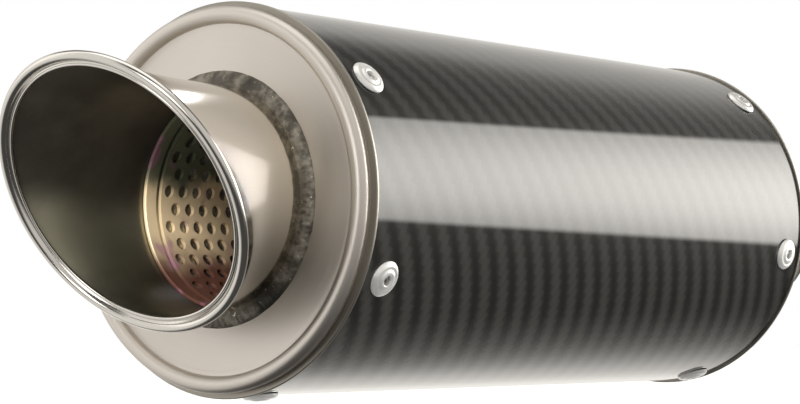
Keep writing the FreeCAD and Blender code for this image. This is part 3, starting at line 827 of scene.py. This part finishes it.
def clamp():
    """Band, barrels and saddles with softened edges; the bolt with its thread; the locking nut."""
    for name, node, material, slot, body, width in (
            ("band", "clamp_band", STRIP_STEEL, "clamp_steel", "clamp", 0.15),
            ("barrels", "clamp_barrels", ZINC, "zinc_steel", "clamp", 0.35),
            ("saddle_head", "clamp_head_saddle", STRIP_STEEL, "clamp_steel", "clamp", 0.35),
            ("saddle_nut", "clamp_nut_saddle", STRIP_STEEL, "clamp_steel", "nut_saddle", 0.35)):
        finish_piece(softened(name, node, width), material, slot, body, node)
    low, high = low_mm("clamp_bolt").z, high_mm("clamp_bolt").z
    head_high = low + 4.0
    bolt_r = 3.0
    shank_end = head_high + 6.0
    pitch = 1.0
    thread = 0.5
    thread_step = pitch / 8
    steps = round((high - 1.0 - shank_end) / thread_step)

    def threaded(index, radius, height, angle):
        if index < 5:
            return hexed(radius, angle), height
        if 7 <= index < 7 + steps:
            share = (height / pitch - angle / FULL_TURN) % 1.0
            return bolt_r - thread * (1 - abs(2 * share - 1)), height
        return radius, height

    section = [(0.0, low), (4.7, low), (5.8, low + 0.65), (5.8, head_high - 0.1), (5.6, head_high),
               (bolt_r, head_high), (bolt_r, shank_end)]
    section += [(bolt_r, shank_end + thread_step * step) for step in range(steps)]
    section += [(bolt_r - thread, high - 0.6), (2.1, high), (0.0, high)]
    finish_piece(lathe("bolt", section, 64, on_bolt, threaded), ZINC, "zinc_steel", "clamp", "clamp_bolt")
    seat = low_mm("clamp_nut").z
    top = high_mm("clamp_nut").z

    def flats(index, radius, height, angle):
        return (hexed(radius, angle) if index < 6 else radius), height

    section = [(3.05, seat), (4.8, seat), (5.8, seat + 0.6), (5.8, seat + 4.0), (5.0, seat + 4.5),
               (4.9, seat + 4.6), (4.9, top - 0.5), (4.5, top), (4.15, top), (4.15, top - 1.6),
               (3.05, top - 1.6)]
    finish_piece(lathe("nut_lock", section, 96, on_bolt, flats), ZINC, "zinc_steel", "nut", "clamp_nut")
    low, high = low_mm("clamp_nut_insert").z, high_mm("clamp_nut_insert").z
    section = [(3.05, low), (4.1, low), (4.1, high - 0.15), (3.95, high), (3.25, high), (3.05, high - 0.2)]
    finish_piece(lathe("nut_ring", section, 64, on_bolt), NYLON, "nylon", "nut", "clamp_nut_insert")


def inlet_pipe():
    """The slip-on socket with four saw cuts."""
    low = low_mm("inlet_pipe").x
    soft = 0.3
    cut_end = -18.5
    cut_half = 1.5
    section = [(low, PIPE_BORE), (low, PIPE_R)]
    section += [(low * (1 - step / 30), PIPE_R) for step in range(1, 30)]
    section += [(-soft, PIPE_R), (0, PIPE_R - soft), (0, PIPE_BORE + soft), (-soft, PIPE_BORE)]
    pipe = lathe("pipe_inlet", section, 256)
    cutters = []
    for cut in range(4):
        angle = math.radians(45 + 90 * cut)
        outline = [(1.0, -cut_half), (1.0, cut_half)] + arc((cut_end, 0), cut_half, 90, 270, 10)
        rings = []
        for height in (PIPE_BORE - 4, PIPE_R + 4):
            upright = Vector((0, math.cos(angle), math.sin(angle))) * height
            across = Vector((0, -math.sin(angle), math.cos(angle)))
            rings.append([Vector((x, 0, 0)) + across * y + upright for x, y in outline])
        cutter = skin("cut", rings, closed_path=False)
        close_ends(cutter)
        cutters.append(cutter)
    cut_away(pipe, join("cuts", cutters))
    finish_piece(pipe, PIPE_STEEL, "stainless", "muffler", "inlet_pipe")


def close_ends(piece):
    """Fill the open ends of a mesh."""
    filler = bmesh.new()
    filler.from_mesh(piece.data)
    bmesh.ops.holes_fill(filler, edges=filler.edges)
    bmesh.ops.recalc_face_normals(filler, faces=filler.faces)
    filler.to_mesh(piece.data)
    filler.free()


def cut_away(piece, cutter):
    """Cut one mesh out of another and drop the cutter."""
    modifier = piece.modifiers.new("cut", "BOOLEAN")
    modifier.object = cutter
    modifier.solver = "EXACT"
    apply_modifiers(piece)
    bpy.data.objects.remove(cutter)
    face_outwards(piece)


def apply_modifiers(piece):
    """Make a piece's modifiers part of its mesh."""
    bpy.context.view_layer.update()
    made = bpy.data.meshes.new_from_object(piece.evaluated_get(bpy.context.evaluated_depsgraph_get()))
    piece.modifiers.clear()
    piece.data = made


def softened(name, node, width):
    """A copy of a CAD node's shape with its sharp edges rounded."""
    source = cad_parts[node]
    work = bmesh.new()
    work.from_mesh(source.data)
    bmesh.ops.remove_doubles(work, verts=work.verts, dist=1e-6)
    bmesh.ops.dissolve_limit(work, angle_limit=math.radians(0.8), verts=work.verts, edges=work.edges)
    sharp = [edge for edge in work.edges
             if len(edge.link_faces) == 2 and edge.calc_face_angle(0) > math.radians(35)]
    bmesh.ops.bevel(work, geom=sharp, offset=width * MM, segments=2, profile=0.6, affect="EDGES",
                    clamp_overlap=True)
    work.transform(source.matrix_world)
    mesh = bpy.data.meshes.new(name)
    work.to_mesh(mesh)
    work.free()
    piece = bpy.data.objects.new(name, mesh)
    bpy.context.scene.collection.objects.link(piece)
    face_outwards(piece)
    return piece


def hanger():
    """Tab, the grommet and the bush."""
    finish_piece(softened("tab_hanger", "hanger_tab", 0.4), CAP_STEEL, "stainless", "muffler", "hanger_tab")
    grommet_low, grommet_high = (corner.z / MM - EYE.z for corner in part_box("hanger_grommet"))
    middle = (grommet_low + grommet_high) / 2
    half = (grommet_high - grommet_low) / 2
    flange_r = (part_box("hanger_grommet")[1].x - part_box("hanger_grommet")[0].x) / (2 * MM)
    groove = 2.05
    section = [(6.05, middle - half)] + arc((flange_r - 0.8, middle - half + 0.8), 0.8, -90, 0, 6)
    section += [(flange_r, middle - groove), (9.45, middle - groove), (9.45, middle + groove),
                (flange_r, middle + groove)]
    section += arc((flange_r - 0.8, middle + half - 0.8), 0.8, 0, 90, 6)
    section += [(8.6, middle + half), (8.3, middle + half - 0.35), (7.7, middle + half - 0.35),
                (7.4, middle + half), (6.05, middle + half)]
    finish_piece(lathe("grommet", section, 96, on_eye), RUBBER, "rubber", "muffler", "hanger_grommet")
    low, high = (corner.z / MM - EYE.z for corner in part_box("hanger_bush"))
    section = [(4.4, low), (8.7, low), (9.0, low + 0.3), (9.0, low + 1.1), (8.7, low + 1.4),
               (6.0, low + 1.4), (6.0, high - 0.3), (5.7, high), (4.4, high), (4.1, high - 0.3),
               (4.1, low + 0.3)]
    finish_piece(lathe("bush", section, 96, on_eye), ZINC, "zinc_steel", "muffler", "hanger_bush")


def main():
    """Build and dress every piece."""
    carbon_sleeve()
    end_ring("ring_outlet", OUTLET_EDGE, -1, "outlet_ring")
    end_ring("ring_inlet", INLET_EDGE, 1, "inlet_ring")
    outlet_cap()
    outlet_tip()
    tip_rim()
    ring_weld("weld_outlet", CAP_FACE, TUBE_R, -1, "outlet_weld", 3.6, 1.6, 3.0)
    rivet_rows()
    perforated_core()
    core_collar()
    matted_layer("wool_wrap", "steel_wool_wrap", CORE_R + 0.05, STEEL_WOOL, "steel_wool", 0.8)
    matted_layer("glass_blanket", "glass_packing", 31.6, GLASS_WOOL, "packing", 0.5)
    inlet_cap()
    inlet_pipe()
    ring_weld("weld_inlet", NECK_END, PIPE_R, 1, "inlet_weld", 1.5, 2.6, 7.0)
    hanger()
    hanger_beads()
    clamp()


# ---- camera, light and floor -------------------------------------------------------------

VIEW_TARGET = Vector((-0.187, 0.0, 0.0022))
VIEW_DISTANCE = 0.6703
VIEW_FORWARD = Vector((0.7834, 0.6196, 0.0485)).normalized()
VIEW_LENS = 108.3


def camera():
    """The photograph's viewpoint: past the outlet end, a little below the axis."""
    data = bpy.data.cameras.new("view")
    data.lens = VIEW_LENS
    data.clip_start = 0.01
    seat = bpy.data.objects.new("view", data)
    seat.location = VIEW_TARGET - VIEW_FORWARD * VIEW_DISTANCE
    seat.rotation_euler = VIEW_FORWARD.to_track_quat("-Z", "Y").to_euler()
    bpy.context.scene.collection.objects.link(seat)
    bpy.context.scene.camera = seat


def surroundings():
    """What the metal mirrors: softboxes beside and before the muffler, a lit backdrop and a ceiling."""
    world = bpy.data.worlds.new("studio")
    bpy.context.scene.world = world
    world.use_nodes = True
    sky = Nodes(world.node_tree)
    direction = sky.add("ShaderNodeTexCoord").outputs["Generated"]
    along, beside, up = sky.parts(direction)
    degree = 180 / math.pi
    azimuth = sky.math("MULTIPLY", sky.math("ARCTAN2", beside, along), degree)
    elevation = sky.math("MULTIPLY", sky.math("ARCSINE", up), degree)

    def patch(radiance, *limits):
        """A bright patch: each limit is a value and where it starts, is full, is last full and ends."""
        light = radiance
        for value, starts, full, last, ends in limits:
            light = sky.math("MULTIPLY", light, sky.between(value, starts, full))
            light = sky.math("MULTIPLY", light, sky.between(value, last, ends, 1.0, 0.0))
        return light

    turned = sky.math("ARCTAN2", sky.math("MULTIPLY", beside, -1.0), sky.math("MULTIPLY", along, -1.0))
    facing = sky.math("MULTIPLY", turned, degree)
    leaning = sky.math("MULTIPLY_ADD", azimuth, 0.22, elevation)
    front_leaning = sky.math("MULTIPLY_ADD", facing, -0.32, elevation)
    side_panel = patch(7.4, (elevation, -8.0, -5.4, 99.0, 100.0), (elevation, -25.0, 8.0, 10.0, 50.0),
                       (leaning, -90.0, -80.0, 23.2, 25.4), (azimuth, -48.0, -38.0, -34.0, 14.0))
    backdrop = patch(0.8, (azimuth, -16.0, 18.0, 92.0, 104.0), (elevation, -50.0, -24.0, 31.0, 41.0))
    low_backdrop = patch(0.55, (azimuth, 0.0, 32.0, 60.0, 90.0), (elevation, -42.0, -25.0, -15.0, 0.0))
    end_panel = patch(0.82, (azimuth, 92.0, 104.0, 162.0, 175.0), (elevation, -60.0, -30.0, 60.0, 82.0))
    rim_panel = patch(0.5, (azimuth, 100.0, 112.0, 124.0, 136.0), (elevation, -20.0, 5.0, 50.0, 75.0))
    front_panel = patch(3.4, (facing, -10.0, 6.0, 18.0, 36.0), (elevation, -8.0, 2.0, 99.0, 100.0),
                        (front_leaning, -90.0, -80.0, 22.4, 24.6))
    room = patch(0.66, (facing, 25.0, 50.0, 125.0, 140.0), (elevation, -35.0, -5.0, 45.0, 70.0))
    ceiling = patch(1.4, (elevation, 52.0, 70.0, 91.0, 92.0))
    light = 0.07
    for part in (side_panel, backdrop, low_backdrop, end_panel, rim_panel, front_panel, room, ceiling):
        light = sky.math("ADD", light, part)
    seen = sky.add("ShaderNodeLightPath").outputs["Is Camera Ray"]
    light = sky.add("ShaderNodeMix", {0: seen, 2: light, 3: 1.0}).outputs[0]
    colour = sky.mix(seen, (1.0, 0.97, 0.91), (1.0, 1.0, 1.0))
    sky.put(sky.tree.nodes["Background"].inputs["Color"], colour)
    sky.put(sky.tree.nodes["Background"].inputs["Strength"], light)


def lamp(name, kind, place, target, power, receivers, **settings):
    """A lamp that lights only the named pieces."""
    data = bpy.data.lights.new(name, kind)
    data.energy = power
    for key, value in settings.items():
        setattr(data, key, value)
    holder = bpy.data.objects.new(name, data)
    holder.location = place
    holder.rotation_euler = (target - place).to_track_quat("-Z", "Y").to_euler()
    holder.visible_camera = False
    bpy.context.scene.collection.objects.link(holder)
    lit = bpy.data.collections.new(name + "_lit")
    for receiver in receivers:
        lit.objects.link(bpy.data.objects[receiver])
    holder.light_linking.receiver_collection = lit
    return holder


def lamps():
    """A lamp down the mouth to the core, two panels mirrored in the flare and a wash over the floor."""
    lamp("throat", "AREA", Vector((-0.62, -0.16, 0.168)), Vector((-0.24, 0.01, 0.0)), 2.9,
         ("core_punched", "collar"), size=0.07)
    flare = Vector((-0.29, -0.022, 0.015))
    only_the_tip = bpy.data.collections.new("only_the_tip")
    only_the_tip.objects.link(bpy.data.objects["tip_tube"])
    mirrored = (
        ("bar", Vector((0.314, 0.286, 0.362)), 0.07, 0.055, 0.034),
        ("flare_panel", Vector((0.66, -0.12, 0.20)), 0.55, 0.80, 0.42),
    )
    for name, place, power, width, height in mirrored:
        panel = lamp(name, "AREA", place, flare, power, ("tip_tube",),
                     shape="RECTANGLE", size=width, size_y=height)
        panel.data.cycles.use_multiple_importance_sampling = False
        panel.light_linking.blocker_collection = only_the_tip
    lamp("wash", "SUN", Vector((0.0, -0.3, 1.0)), Vector((0.0, 0.0, 0.0)), 1.6, ("floor",), angle=0.9)


def floor():
    """A plain pale floor, 150 mm below the muffler's axis."""
    mesh = bpy.data.meshes.new("floor")
    reach = 8.0
    level = -0.15
    corners = [(-reach, -reach, level), (reach, -reach, level),
               (reach, reach, level), (-reach, reach, level)]
    mesh.from_pydata(corners, [], [(0, 1, 2, 3)])
    ground = bpy.data.objects.new("floor", mesh)
    bpy.context.scene.collection.objects.link(ground)
    ground.data.materials.append(moulded_finish("floor_white", (0.88, 0.88, 0.88), 0.7))
    ground.visible_glossy = False


main()
camera()
surroundings()
floor()
lamps()
bpy.context.scene.view_settings.view_transform = "Standard"
